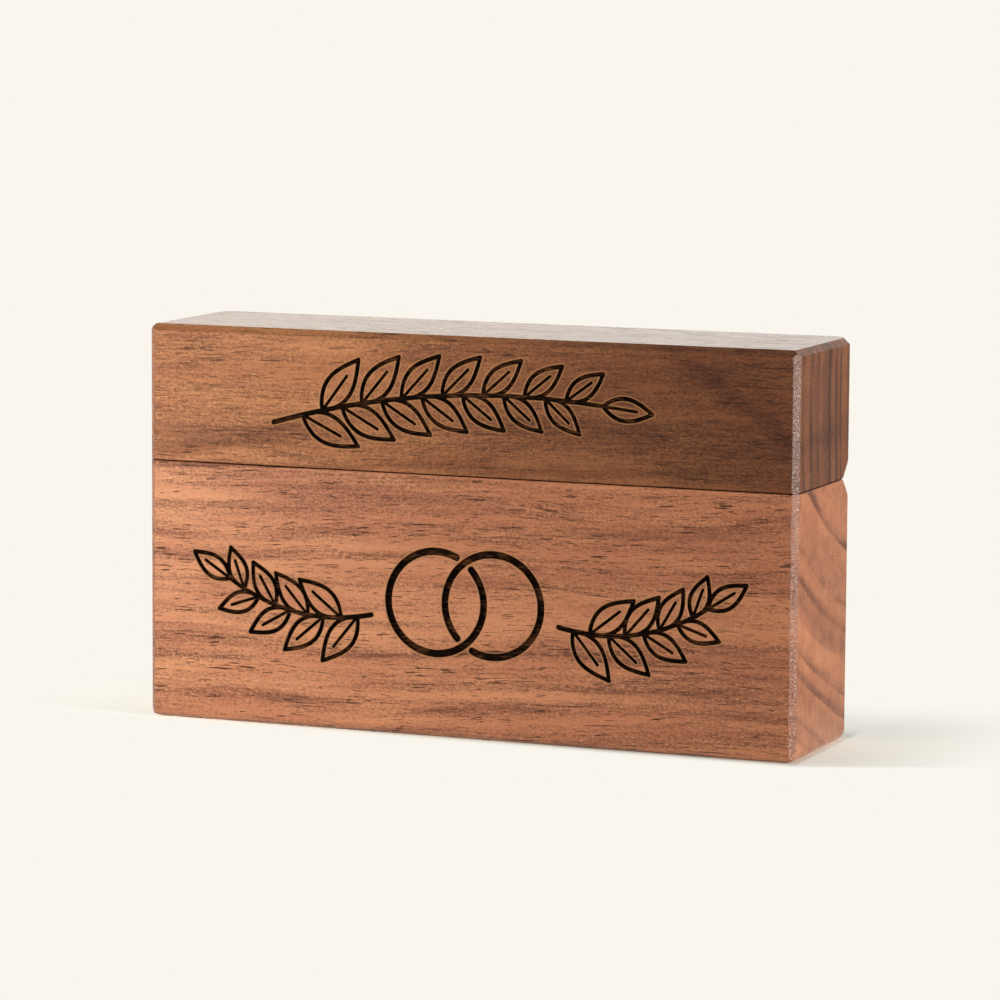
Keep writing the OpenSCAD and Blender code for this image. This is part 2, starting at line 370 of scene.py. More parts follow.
def seeded(place, blob, offset, detail=2.0):
    """Noise that moves with the block's own seed."""
    own = sums(walnut, "ADD", given["Seed"], offset)
    shift = joined(walnut, own, own, own)
    moved = vectors(walnut, "ADD", place, vectors(walnut, "MULTIPLY", shift, blob))
    return noise(walnut, moved, blob, 0.0, detail)


print("walnut group:", len(WALNUT_NUMBERS), "numbers and", len(WALNUT_COLOURS), "colours")

# %% [markdown]
# The rings come first. A point's distance from the pith, bent a little as a trunk is, tells its ring and
# how late in the year it grew. Some years are lean or dry, and the dark line that ends a year fades in
# and out along its arc.

# %% Walnut rings
point = place_in_mm(walnut)
x, y, z = parts_of(walnut, point)
facing = parts_of(walnut, add_node(walnut, "TexCoord").outputs["Normal"])
across_grain = sums(walnut, "ABSOLUTE", facing[0])
on_end = ramp(walnut, across_grain, END_FROM, END_FULL)
calm = ramp(walnut, across_grain, END_FROM, END_FULL, 1.0, END_CALM)
drift = about(walnut, seeded(point, (55, 16, 16), 3.0, 1.0), given["Wander"])
flutter = about(walnut, seeded(point, (20, 3.2, 3.2), 11.0), 1.1)
bend = sums(walnut, "MULTIPLY", sums(walnut, "ADD", drift, flutter), calm)
z = sums(walnut, "MULTIPLY_ADD", x, given["Rise"], z)
grain_point = joined(walnut, x, y, sums(walnut, "ADD", z, bend))

from_pith_y = sums(walnut, "SUBTRACT", y, given["Pith Y"])
from_pith_z = sums(walnut, "SUBTRACT", z, given["Pith Z"])
radius = long_side(walnut, from_pith_y, from_pith_z)
rings = sums(walnut, "DIVIDE", sums(walnut, "SUBTRACT", radius, bend), given["Ring Spacing"])
ring_line = joined(walnut, rings)
lean_years = seeded(ring_line, (2.3, 1.0, 1.0), 5.0, 1.0)
dry_years = seeded(ring_line, (1.6, 1.0, 1.0), 15.0)
rings = sums(walnut, "MULTIPLY_ADD", lean_years, 2.2, rings)
in_ring = sums(walnut, "FRACT", rings)
darkening = ramp(walnut, in_ring, LATE_FROM, LATE_PEAK)
late = sums(walnut, "MULTIPLY", darkening, ramp(walnut, in_ring, LATE_PEAK, 1.0, 1.0, 0.0))
counted = sums(walnut, "FLOOR", rings)
year = add_node(walnut, "TexWhiteNoise", {"W": counted}, noise_dimensions="1D").outputs[0]
late = sums(walnut, "MULTIPLY", late, sums(walnut, "MULTIPLY_ADD", year, 0.95, 0.10))
arc = sums(walnut, "MULTIPLY", sums(walnut, "ARCTAN2", from_pith_y, from_pith_z), radius)
along_ring = joined(walnut, rings, arc, x)
fading = seeded(along_ring, (0.8, 9.0, 40.0), 43.0, 1.0)
late = sums(walnut, "MULTIPLY", late, ramp(walnut, fading, 0.35, 0.65, 0.55, 1.25))
print("walnut rings: each darkest at", LATE_PEAK, "of its year")

# %% [markdown]
# Fibres, soft bands and pores lie along the grain, so they are noises drawn out along the trunk. On a
# face the pores show as dashes. The ends are sanded, and upright marks take the place of the pores there.

# %% Walnut grain and pores
cloud = seeded(grain_point, (34, 5, 5), 41.0)
mottle = seeded(grain_point, (22, 1.2, 1.2), 47.0)
band = seeded(grain_point, (60, 1.8, 1.8), 101.0)
tilt = {"Vector": point, "Angle": SLANT}
slanted = add_node(walnut, "VectorRotate", tilt, rotation_type="Y_AXIS").outputs[0]
silk = seeded(slanted, (0.55, 0.24, 0.22), 107.0, 1.0)
sanding = seeded(point, (1.0, 0.20, 5.0), 113.0)
hue = seeded(grain_point, (26, 3.4, 3.4), 97.0)
fibre = seeded(grain_point, (8, 0.26, 0.26), 23.0, 3.0)
grit = seeded(grain_point, (0.6, 0.17, 0.17), 31.0)
# Painted glints: small pale dashes along the grain, standing in for light caught by fibres and pores.
glint_fleck = ramp(walnut, seeded(grain_point, (1.1, 0.17, 0.17), 83.0, 1.0), 0.64, 0.76, 0.0, 0.45)
crowd = sums(walnut, "MULTIPLY_ADD", late, 0.15, seeded(grain_point, (17, 2.0, 2.0), 53.0))
crowd = sums(walnut, "MULTIPLY", sums(walnut, "SUBTRACT", crowd, 0.56), 0.22)


def pores(blob, low, high, offset):
    """Ragged dashes: where noise drawn out along the grain, raised where pores crowd, goes over a level."""
    return ramp(walnut, sums(walnut, "ADD", seeded(grain_point, blob, offset), crowd), low, high)


short_pores = sums(walnut, "MULTIPLY", pores((2.2, 0.20, 0.20), 0.63, 0.70, 71.0), 0.8)
pore = sums(walnut, "MAXIMUM", pores((4.6, 0.25, 0.25), 0.62, 0.68, 61.0), short_pores)
pore = sums(walnut, "MULTIPLY", sums(walnut, "MULTIPLY", pore, given["Pore Share"]), calm)
print("walnut grain: fibres, bands and two sizes of pores")

# %% [markdown]
# Rings, grain and sanding add up to one tone, which goes from early to late wood. Painted glints are
# screened over it as small pale dashes. Pores are darker and rougher, and they lie a little deeper.

# %% Walnut colour
figure = total(walnut, about(walnut, mottle, 0.7), about(walnut, band, 1.0), about(walnut, cloud, 0.5))
figure = sums(walnut, "MULTIPLY", figure, given["Figure"])
fine = total(walnut, about(walnut, fibre, 0.9), about(walnut, grit, 0.8), about(walnut, silk, 1.3))
face_tone = sums(walnut, "MULTIPLY", sums(walnut, "ADD", fine, figure), calm)
end_tone = sums(walnut, "MULTIPLY", about(walnut, sanding, 0.9), on_end)
ring_share = ramp(walnut, across_grain, END_FROM, END_FULL, given["Late Share"], given["End Share"])
ring_tone = sums(walnut, "MULTIPLY", sums(walnut, "ADD", late, about(walnut, dry_years, 1.8)), ring_share)
tone = total(walnut, ring_tone, face_tone, end_tone, MIDDLE_TONE)
golden = mix(walnut, ramp(walnut, hue, 0.38, 0.62), given["Early Wood"], ROSY, "MULTIPLY")
body = mix(walnut, ramp(walnut, tone, 0.0, 1.0), golden, given["Late Wood"])
# The painted glints are screened over the wood colour.
body = mix(walnut, glint_fleck, body, given["Early Wood"], "SCREEN")
walnut.links.new(mix(walnut, pore, body, given["Pore"]), result["Color"])
rough = sums(walnut, "MULTIPLY_ADD", fibre, 0.16, sums(walnut, "MULTIPLY", pore, 0.25))
walnut.links.new(rough, result["Roughness"])
relief = sums(walnut, "MULTIPLY", sums(walnut, "MULTIPLY", sums(walnut, "ADD", fibre, grit), 0.4), calm)
walnut.links.new(sums(walnut, "SUBTRACT", relief, pore), result["Height"])
print("walnut colour: a group of", len(walnut.nodes), "nodes")

# %% [markdown]
# Both blocks get the same finish over their grain: satin oil, chamfers that are sanded rough, darkened with
# painted shade and paled in tufts that are partly sanded fibre and partly painted sheen, a painted shade
# line at the parting seam and a painted highlight rim beside the burnt lines. It could be painted by hand.
# Here the normal finds the chamfers, the height finds the seam, and an attribute tells how deep inside a
# line a point lies.

# %% Walnut finish
SATIN, RELIEF = 0.18, 0.06 * MM
# The pale rim beside each burnt line is a painted highlight, as if the lip of the groove caught the light.
RIM_HIGHLIGHT, RIM_HIGHLIGHT_WIDTH, RIM_HIGHLIGHT_SHARE = linear(206, 150, 98), 0.16, 0.55
CUT = "cut"
PARTING, SEAM, SEAM_REACH = 38.0, 0.11, 0.5
# The seam colour is painted shade: a near-black line where the joint between lid and base lies in shade.
SEAM_SHADE = linear(24, 14, 9)
# The pale chamfer colour is partly sanded fibre ends and partly a painted sheen.
SANDED_SHEEN, FUZZ_SHEEN_SHARE = linear(224, 206, 198), 0.42
WHITE = (1.0, 1.0, 1.0, 1.0)


def finish_walnut(tree, shader, grain, stain, chamfer_shade):
    """Stains the grain, adds chamfers with painted shade and partly painted sheen, a painted highlight rim
    by burnt lines, a painted shade seam and pore relief.
    """
    place = place_in_mm(tree)
    x, y, z = parts_of(tree, place)
    facing = parts_of(tree, add_node(tree, "TexCoord").outputs["Normal"])
    turned_both_ways = sums(tree, "ABSOLUTE", sums(tree, "MULTIPLY", facing[0], facing[1]))
    on_chamfer = ramp(tree, turned_both_ways, 0.30, 0.45)
    tufts = ramp(tree, noise(tree, place, (0.4, 0.4, 0.16), 13.0), 0.45, 0.64)
    fuzz = sums(tree, "MULTIPLY", on_chamfer, tufts)
    colour = mix(tree, 1.0, grain.outputs["Color"], stain, "MULTIPLY")
    # Painted shade: the chamfers are darkened by a plain factor.
    colour = mix(tree, on_chamfer, colour, chamfer_shade, "MULTIPLY")
    # Pale tufts on the chamfers: partly sanded fibre, partly painted sheen.
    colour = mix(tree, sums(tree, "MULTIPLY", fuzz, FUZZ_SHEEN_SHARE), colour, SANDED_SHEEN)

    inside = add_node(tree, "Attribute", attribute_name=CUT).outputs["Fac"]
    # Painted highlight: a pale rim just outside each burnt line.
    colour = mix(tree, ramp(tree, inside, -RIM_HIGHLIGHT_WIDTH, -0.01, 0.0, RIM_HIGHLIGHT_SHARE), colour, RIM_HIGHLIGHT)
    from_parting = sums(tree, "ABSOLUTE", sums(tree, "SUBTRACT", z, PARTING))
    past_end = sums(tree, "SUBTRACT", sums(tree, "ABSOLUTE", x), cad_high.x / MM)
    past_side = sums(tree, "MAXIMUM", past_end, sums(tree, "SUBTRACT", cad_low.y / MM, y))
    # Painted shade: the seam colour along the parting, on the outside of the box only.
    seam_shade = sums(tree, "MULTIPLY", ramp(tree, from_parting, 0.5 * SEAM, SEAM, 1.0, 0.0),
                ramp(tree, past_side, -SEAM_REACH, -0.6 * SEAM_REACH))
    tree.links.new(mix(tree, seam_shade, colour, SEAM_SHADE), shader.inputs["Base Color"])

    tree.links.new(sums(tree, "ADD", grain.outputs["Roughness"], SATIN), shader.inputs["Roughness"])
    pored = add_node(tree, "Bump", {"Strength": 0.5, "Distance": RELIEF, "Height": grain.outputs["Height"]})
    tufted = {"Strength": 0.7, "Distance": RELIEF, "Height": fuzz, "Normal": pored.outputs[0]}
    tree.links.new(add_node(tree, "Bump", tufted).outputs[0], shader.inputs["Normal"])


def new_walnut(name, colours, **numbers):
    """A material with the walnut group in it. The numbers and colours are the group's inputs."""
    material, tree, shader = new_material(name, IOR=1.5)
    grain = add_node(tree, "Group", node_tree=walnut)
    for socket, value in {**dict(zip(WALNUT_COLOURS, colours)), **numbers}.items():
        grain.inputs[socket.replace("_", " ")].default_value = value
    return material, tree, shader, grain


print("walnut finish ready")

# %% [markdown]
# Each block is its own board. The base shows broad soft bands on its front and ring arcs on its end, and
# it darkens towards its upper right.

# %% Walnut of the base
BASE_WOOD = linear(230, 161, 118), linear(138, 88, 68), linear(70, 40, 26)
# The second colour darkens the chamfers of the base as painted shade.
BASE_HEART, BASE_CHAMFER_SHADE = (0.80, 0.73, 0.72, 1.0), (0.76, 0.68, 0.67, 1.0)

walnut_base, tree, shader, grain = new_walnut(
    "walnut_of_base", BASE_WOOD,
    Pith_Y=37.0, Pith_Z=94.0, Ring_Spacing=3.9, Rise=-0.03, Wander=5.0, Seed=25.0,
    Late_Share=0.32, End_Share=0.85, Pore_Share=0.95, Figure=1.25)
x, y, z = parts_of(tree, place_in_mm(tree))
to_heart = ramp(tree, sums(tree, "MULTIPLY_ADD", z, 1.5, x), -30.0, 95.0)
finish_walnut(tree, shader, grain, mix(tree, to_heart, WHITE, BASE_HEART), BASE_CHAMFER_SHADE)
print("material:", walnut_base.name)

# %% [markdown]
# The lid is cut the other way, so its rings stand upright on the end. Its wood turns from golden on the
# left to dark heartwood on the right, with a few dark streaks.

# %% Walnut of the lid
LID_WOOD = linear(210, 143, 94), linear(126, 79, 56), linear(60, 36, 25)
# The second colour darkens the chamfers of the lid as painted shade.
LID_HEART, LID_CHAMFER_SHADE = (0.385, 0.33, 0.34, 1.0), (0.87, 0.80, 0.80, 1.0)
LID_STREAK = (0.58, 0.52, 0.53, 1.0)
LID_STREAKS = (
    (41.0, 50.5, -0.65, 2.8, 17.0),
    (-36.0, 42.0, 0.15, 1.9, 24.0),
    (8.0, 39.6, 0.02, 1.6, 40.0),
)

walnut_lid, tree, shader, grain = new_walnut(
    "walnut_of_lid", LID_WOOD,
    Pith_Y=135.0, Pith_Z=48.0, Ring_Spacing=2.7, Rise=-0.02, Wander=4.0, Seed=7.0,
    Late_Share=0.5, End_Share=0.95, Pore_Share=0.7, Figure=0.55)
place = place_in_mm(tree)
x, y, z = parts_of(tree, place)
drift = about(tree, noise(tree, place, (30, 9, 9), 3.0, 3.0), 44.0)
to_heart = ramp(tree, sums(tree, "MULTIPLY_ADD", z, -0.4, sums(tree, "ADD", x, drift)), -49.0, 38.0)
wobble = about(tree, noise(tree, place, (14, 8, 4), 8.0, 3.0), 5.0)


def streak(middle_x, middle_z, slope, half_width, half_length):
    """A soft streak through the block, along a sloping line on its front: 1 on the line and 0 beside it."""
    along = sums(tree, "SUBTRACT", x, middle_x)
    line_z = sums(tree, "MULTIPLY_ADD", along, slope, middle_z)
    beside = sums(tree, "ABSOLUTE", sums(tree, "ADD", sums(tree, "SUBTRACT", z, line_z), wobble))
    return sums(tree, "MULTIPLY", ramp(tree, beside, 0.0, half_width, 1.0, 0.0),
                ramp(tree, sums(tree, "ABSOLUTE", along), 0.4 * half_length, half_length, 1.0, 0.0))


streaks = 0.0
for place_and_size in LID_STREAKS:
    streaks = sums(tree, "MAXIMUM", streaks, streak(*place_and_size))
stain = mix(tree, to_heart, WHITE, LID_HEART)
stain = mix(tree, sums(tree, "MULTIPLY", streaks, 0.7), stain, LID_STREAK, "MULTIPLY")
finish_walnut(tree, shader, grain, stain, LID_CHAMFER_SHADE)
print("material:", walnut_lid.name, "with", len(LID_STREAKS), "streaks")

# %% [markdown]
# Where a laser has burnt the lines, the wood is near black, with toasted patches and a finely ribbed
# floor. Both come from noise drawn out along the box.

# %% Burnt line
CHAR, TOAST = linear(22, 13, 8), linear(104, 66, 40)

burnt, tree, shader = new_material("burnt_line", Specular_IOR_Level=0.12)
place = place_in_mm(tree)
scorch = noise(tree, place, (1.4, 0.5, 0.16), 5.0, 3.0)
ash = sums(tree, "ADD", scorch, about(tree, noise(tree, place, (4.0, 2.0, 2.0), 9.0), 0.8))
toasted = mix(tree, ramp(tree, ash, 0.46, 0.74), CHAR, TOAST)
dress(tree, shader, toasted, ramp(tree, ash, 0.3, 0.7, 0.95, 0.75), scorch, strength=0.6, depth=0.08)
print("material:", burnt.name)

# %% [markdown]
# A laser has burnt line drawings into the front. They could be painted on, but the real lines are grooves
# with a flared lip, a steep wall and a dark floor, so light falls into them. Each line is a path with a
# width. The motifs are plain: a leafy branch on the lid, and two linked rings between leafy sprigs on the
# base.

# %% Lines of the decoration
LEAF_LINE, RIB_LINE, STEM_LINE, RING_LINE = 0.40, 0.32, 0.46, 0.62
POINTS = 22
BELLY, RIB_SHARE = 0.85, 0.68
FIRST_LEAF, LEAFY_SHARE = 0.10, 0.80
SHRINK, TIP_LEAF = 0.35, 0.75


def line(points, half_width):
    """A path in the front plane, in mm, with its half width at each point."""
    points = np.asarray(points, float)
    return np.column_stack([points, np.broadcast_to(half_width, len(points))])


def leaf(foot, angle, length, width):
    """Three lines of a pointed leaf: each edge swells as a sine on its way to the tip, with a rib inside."""
    t = np.linspace(0, 1, POINTS)
    along = np.array((math.cos(angle), math.sin(angle)))
    side = np.array((-along[1], along[0]))
    swell = width * np.sin(np.pi * t ** BELLY) / 2
    spine = foot + np.outer(length * t, along)
    edges = [line(spine + np.outer(sign * swell, side), LEAF_LINE) for sign in (-1, 1)]
    return [*edges, line(foot + np.outer(length * RIB_SHARE * t, along), RIB_LINE)]


def branch(start, end, bow, pairs, leaf_length, leaf_width, spread):
    """A stem on a parabola that bows by bow, with pairs of leaves that shrink to one leaf at its tip."""
    start, end = np.asarray(start, float), np.asarray(end, float)
    chord = end - start
    normal = np.array((-chord[1], chord[0])) / np.hypot(*chord)
    t = np.linspace(0, 1, 3 * POINTS)
    stem = start + np.outer(t, chord) + np.outer(4 * bow * t * (1 - t), normal)
    heading = np.unwrap(np.arctan2(*np.gradient(stem, axis=0).T[::-1]))
    lines = [line(stem, np.linspace(STEM_LINE, LEAF_LINE, len(t)))]
    for i in range(2 * pairs):
        at = int((FIRST_LEAF + LEAFY_SHARE * i / (2 * pairs - 1)) * (len(t) - 1))
        shrink = 1 - SHRINK * at / len(t)
        turn = spread if i % 2 else -spread
        lines += leaf(stem[at], heading[at] + turn, leaf_length * shrink, leaf_width * shrink)
    return lines + leaf(stem[-1], heading[-1], leaf_length * TIP_LEAF, leaf_width * TIP_LEAF)


def ring_arc(centre, radius, first, last):
    """Part of a ring, between two angles in degrees."""
    turn = np.radians(np.linspace(first, last, 4 * POINTS))
    return line(np.column_stack([np.cos(turn), np.sin(turn)]) * radius + centre, RING_LINE)


LID_MIDDLE = 47.6
lid_lines = branch((-30.0, LID_MIDDLE - 3.2), (21.0, LID_MIDDLE + 1.4), bow=2.6, pairs=7,
                   leaf_length=10.0, leaf_width=4.2, spread=math.radians(40))

BASE_MIDDLE = 19.6
RING_RADIUS, RING_APART = 7.4, 8.8
UNDER = 11.0
crossing = math.degrees(math.acos(RING_APART / 2 / RING_RADIUS))
left_ring = np.array((-RING_APART / 2, BASE_MIDDLE))
right_ring = np.array((RING_APART / 2, BASE_MIDDLE))
base_lines = [
    ring_arc(left_ring, RING_RADIUS, crossing + UNDER, crossing + 360 - UNDER),
    ring_arc(right_ring, RING_RADIUS, 180 + crossing + UNDER, 180 + crossing + 360 - UNDER),
]
sprig = branch((14.5, BASE_MIDDLE - 2.4), (37.0, BASE_MIDDLE + 1.6), bow=-2.4, pairs=4,
               leaf_length=9.0, leaf_width=4.0, spread=math.radians(42))
base_lines += sprig + [path * (-1, 1, 1) for path in sprig]
print("decoration:", len(lid_lines), "lines on the lid,", len(base_lines), "on the base")

# %% [markdown]
# To carve the lines, the front face is drawn again as a flat sheet of triangles that keeps every groove's
# contours as edges, and each point then goes back by the depth that its distance from the line gives. A
# Boolean cut would also work, but it is slow on a hundred crossing lines.

# %% Carved sheet
# The outermost contour marks where the painted highlight rim ends.
CONTOURS = (-RIM_HIGHLIGHT_WIDTH, 0.0, 0.10, 0.20)
DEPTHS = (0.0, 0.0, 0.10, 0.55)
CAP = np.linspace(0, np.pi, 9)[1:-1]
FAR, SLACK = -9.0, 0.01


def contour(path, level):
    """Closed outline of a line, level mm inside its edge: down one side, round the end, back and round."""
    points, half = path[:, :2], path[:, 2:] - level
    ahead = np.gradient(points, axis=0)
    ahead /= np.linalg.norm(ahead, axis=1, keepdims=True)
    side = ahead[:, ::-1] * (-1, 1)
    end = points[-1] + half[-1] * (np.outer(np.cos(CAP), side[-1]) + np.outer(np.sin(CAP), ahead[-1]))
    start = points[0] - half[0] * (np.outer(np.cos(CAP), side[0]) + np.outer(np.sin(CAP), ahead[0]))
    return np.vstack([points + half * side, end, (points - half * side)[::-1], start])


def inside_lines(spots, lines):
    """How far each spot lies inside the nearest line: half width less distance, in mm. Far spots get FAR."""
    best = np.full(len(spots), FAR)
    for path in lines:
        reach = path[:, 2].max() - CONTOURS[0] + SLACK
        near = np.all(np.abs(spots - (path[:, :2].max(0) + path[:, :2].min(0)) / 2)
                      < np.ptp(path[:, :2], axis=0) / 2 + reach, axis=1)
        run = np.diff(path[:, :2], axis=0)
        away = spots[near, None] - path[None, :-1, :2]
        share = np.clip((away * run).sum(2) / (run * run).sum(1), 0, 1)
        half = path[:-1, 2] + share * np.diff(path[:, 2])
        inside = half - np.linalg.norm(away - share[..., None] * run, axis=2)
        best[near] = np.maximum(best[near], inside.max(1))
    return best


def carved_sheet(rim, lines, face_y):
    """The front face as triangles: x and z from the flat drawing, y from the depth of the grooves."""
    loops = [rim] + [contour(path, level) for path in lines for level in CONTOURS]
    counts = np.array([len(loop) for loop in loops])
    first = np.repeat(np.cumsum(counts) - counts, counts)
    index = np.arange(counts.sum())
    following = first + (index - first + 1) % np.repeat(counts, counts)
    flat = [Vector(p) for p in np.vstack(loops).tolist()]
    spots, _, faces, *_ = delaunay_2d_cdt(flat, np.column_stack([index, following]).tolist(), [], 0, 1e-4)
    spots = np.array([tuple(p) for p in spots])
    depth = np.interp(inside_lines(spots, lines), CONTOURS, DEPTHS)
    points = np.column_stack([spots[:, 0], face_y + depth, spots[:, 1]]) * MM
    mesh = bpy.data.meshes.new("carved_sheet")
    mesh.from_pydata(points.tolist(), [], faces)
    return mesh


print("carving:", len(CONTOURS), "contours to each line")

# %% [markdown]
# The rest of each block is a merged copy of the exact solid. Sandpaper leaves no edge of wood quite
# sharp, so the long outer edges are eased by a hair.

# %% Carved blocks
WELD, SHEET_WELD = 1e-4 * MM, 1e-3 * MM
FLAT, CREASE = math.radians(0.2), math.radians(13)
EASE, EASE_STEPS = 0.14, 2
LONG_EDGE, OUTER_REACH, SHARP = 8.0, 1.2, math.radians(20)


def ease_edges(shell):
    """Rounds the long convex edges that lie near the outside of the box, but not those of the parting."""
    near = np.array(cad_low) + OUTER_REACH * MM, np.array(cad_high) - OUTER_REACH * MM

    def outer(edge):
        """True for a long sharp edge whose two ends lie within reach of the same outer side."""
        if len(edge.link_faces) != 2 or edge.calc_length() < LONG_EDGE * MM:
            return False
        ends = np.array([v.co for v in edge.verts])
        beside = np.any(np.all(ends < near[0], axis=0)) or np.any(np.all(ends > near[1], axis=0))
        at_parting = np.all(np.abs(ends[:, 2] / MM - PARTING) < 1.0)
        return beside and not at_parting and edge.calc_face_angle_signed() > SHARP

    edges = [e for e in shell.edges if outer(e)]
    bmesh.ops.bevel(shell, geom=edges, offset=EASE * MM, offset_type="OFFSET", segments=EASE_STEPS,
                    profile=0.5, affect="EDGES", clamp_overlap=True)
    return len(edges)


def mesh_points(mesh):
    """The points of a mesh, one row each, in metres."""
    flat = np.empty(3 * len(mesh.vertices))
    mesh.vertices.foreach_get("co", flat)
    return flat.reshape(-1, 3)


def carved_block(name, node, lines):
    """A copy of the solid with the carved sheet as its front, and the place in a line as an attribute."""
    shell = bmesh.new()
    shell.from_mesh(nodes[node].data)
    bmesh.ops.remove_doubles(shell, verts=shell.verts, dist=WELD)
    bmesh.ops.dissolve_limit(shell, angle_limit=FLAT, verts=shell.verts, edges=shell.edges)
    eased = ease_edges(shell)
    front = max((f for f in shell.faces if f.normal.y < -0.999), key=lambda f: f.calc_area())
    face_y = front.verts[0].co.y / MM
    rim = np.array([(v.co.x, v.co.z) for v in front.verts]) / MM
    bmesh.ops.delete(shell, geom=[front], context="FACES_ONLY")
    sheet = carved_sheet(rim, lines, face_y)
    shell.from_mesh(sheet)
    bpy.data.meshes.remove(sheet)
    bmesh.ops.remove_doubles(shell, verts=shell.verts, dist=SHEET_WELD)
    mesh = bpy.data.meshes.new(name)
    shell.to_mesh(mesh)
    shell.free()

    place = mesh_points(mesh) / MM
    on_front = place[:, 1] < face_y + max(DEPTHS) + SLACK
    inside = np.full(len(place), FAR)
    inside[on_front] = inside_lines(place[on_front][:, ::2], lines)
    mesh.attributes.new(CUT, "FLOAT", "POINT").data.foreach_set("value", inside.astype(np.float32))
    corners = np.empty(len(mesh.loops), np.int32)
    mesh.loops.foreach_get("vertex_index", corners)
    first = np.empty(len(mesh.polygons), np.int32)
    mesh.polygons.foreach_get("loop_start", first)
    shallowest = np.minimum.reduceat(inside[corners], first)
    mesh.polygons.foreach_set("material_index", (shallowest > CONTOURS[2] - SLACK).astype(np.int32))
    mesh.shade_smooth()
    mesh.set_sharp_from_angle(angle=CREASE)
    piece = bpy.data.objects.new(name, mesh)
    scene.collection.objects.link(piece)
    print(name + ":", len(mesh.polygons), "faces, rim of", len(rim), "points,", eased, "edges eased")
    return piece


for part, lines, material in (("base", base_lines, walnut_base), ("lid", lid_lines, walnut_lid)):
    block = carved_block("carved_" + part, part + "_block", lines)
    block.data.materials.append(material)
    block.data.materials.append(burnt)
    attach(block, part)
    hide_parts(part + "_block")

# %% [markdown]
# The hinges are turned brass barrels with brass leaves on steel pins, and small nickelled magnets keep
# the lid shut. Their solids already have the right shape, so they stay and only get metal finishes: fine
# marks from stretched noise, and a little tarnish in soft clouds.


# %% Metal finishes
def new_metal(name, bright, dull, roughness, mark):
    """A metal that goes from bright to dull in soft clouds, with fine marks of the given size in mm."""
    material, tree, shader = new_material(name, Metallic=1.0)
    place = place_in_mm(tree)
    cloud = ramp(tree, noise(tree, place, (1.6, 1.6, 1.6), 1.0, 3.0), 0.35, 0.75)
    marks = noise(tree, place, mark, 4.0, 3.0)
    rough = sums(tree, "MULTIPLY_ADD", sums(tree, "ADD", marks, cloud), 0.12, roughness)
    dress(tree, shader, mix(tree, cloud, bright, dull), rough, marks, strength=0.25, depth=0.02)
    return material


brass = new_metal("turned_brass", linear(226, 190, 112), linear(170, 128, 64), 0.20, (1.5, 1.5, 0.05))
steel = new_metal("drawn_steel", linear(200, 200, 202), linear(150, 150, 154), 0.18, (0.05, 1.0, 1.0))
nickel = new_metal("plated_nickel", linear(214, 210, 202), linear(178, 172, 162), 0.14, (0.4, 0.4, 0.4))
metals = {"barrel": brass, "leaf": brass, "pin": steel, "magnet": nickel}
dressed = [(node, metal) for name, node in nodes.items() for word, metal in metals.items() if word in name]
for node, metal in dressed:
    node.data.materials.clear()
    node.data.materials.append(metal)
print("metal finishes on", len(dressed), "nodes")

# %% [markdown]
# Inside the base, two velvet rolls stand side by side, and a ring is held in the slit between them. Each
# is a foam core under a velvet cover that is tucked in at its ends. Both are surfaces on a grid: the
# section goes up one side, over a round crown and down the other, and narrows to a rounded tuck at each
# end.

# %% Roll surfaces
ALONG, AROUND = 150, 72
END_TUCK, END_DROP = 3.2, 2.2
ROLL_INSET = 0.25
CROWN_FROM, CROWN_PULL = 0.7, 0.05
BROAD_WAVE, NARROW_WAVE = 0.10, 0.07


def roll_points(node):
    """Grid of a roll: its section is a side, a half circle and a side, and its ends narrow as ellipses."""
    low, high = (np.array(corner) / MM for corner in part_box(node))
    half = (high - low) / 2 - (ROLL_INSET, ROLL_INSET, 0)
    middle, tall = (low + high) / 2, high[2] - low[2] - ROLL_INSET
    s = np.sin(np.linspace(-1, 1, ALONG) * np.pi / 2)[:, None]
    x = half[0] * s
    past = np.clip((np.abs(x) - (half[0] - END_TUCK)) / END_TUCK, 0, 1)
    narrow = np.sqrt(1 - past ** 2)
    side = tall - half[1]
    whole = 2 * side + np.pi * half[1]
    path = np.linspace(0, whole, AROUND)[None, :]
    turn = np.clip((path - side) / half[1], 0, np.pi)
    y = -half[1] * np.cos(turn)
    arch = np.where(turn < np.pi, side + half[1] * np.sin(turn), whole - path)
    rise = np.where(path < side, path, arch)
    crown = np.clip((rise - side * CROWN_FROM) / (tall - side * CROWN_FROM), 0, 1)
    uneven = BROAD_WAVE * np.sin(x * 0.21 + 0.6) + NARROW_WAVE * np.sin(x * 0.57 + middle[1])
    lift = crown * (uneven - BROAD_WAVE - NARROW_WAVE) - END_DROP * crown * (1 - narrow)
    pull = 1 - CROWN_PULL * crown * (1 + np.sin(x * 0.33 + 1.1 * middle[1])) / 2
    grid = np.broadcast_arrays(middle[0] + x, middle[1] + y * narrow * pull, low[2] + rise + lift)
    return np.stack(grid, axis=2)


def grid_mesh(name, points):
    """Quads over a grid of points whose rows are closed loops."""
    rows, columns = points.shape[:2]
    here = np.arange(rows * columns).reshape(rows, columns)
    after = np.roll(here, -1, axis=1)
    quads = np.stack([here[:-1], here[1:], after[1:], after[:-1]], axis=-1).reshape(-1, 4)
    mesh = bpy.data.meshes.new(name)
    mesh.from_pydata((points.reshape(-1, 3) * MM).tolist(), [], quads.tolist())
    work = bmesh.new()
    work.from_mesh(mesh)
    bmesh.ops.remove_doubles(work, verts=work.verts, dist=WELD)
    bmesh.ops.recalc_face_normals(work, faces=work.faces)
    work.to_mesh(mesh)
    work.free()
    mesh.shade_smooth()
    piece = bpy.data.objects.new(name, mesh)
    scene.collection.objects.link(piece)
    return piece


print("roll grid:", ALONG, "by", AROUND, "points")

# %% [markdown]
# Velvet has a dark ground and a nap that looks paler where it has been stroked. Foam is pale and full of
# small cells. Both get their relief from fine noise.


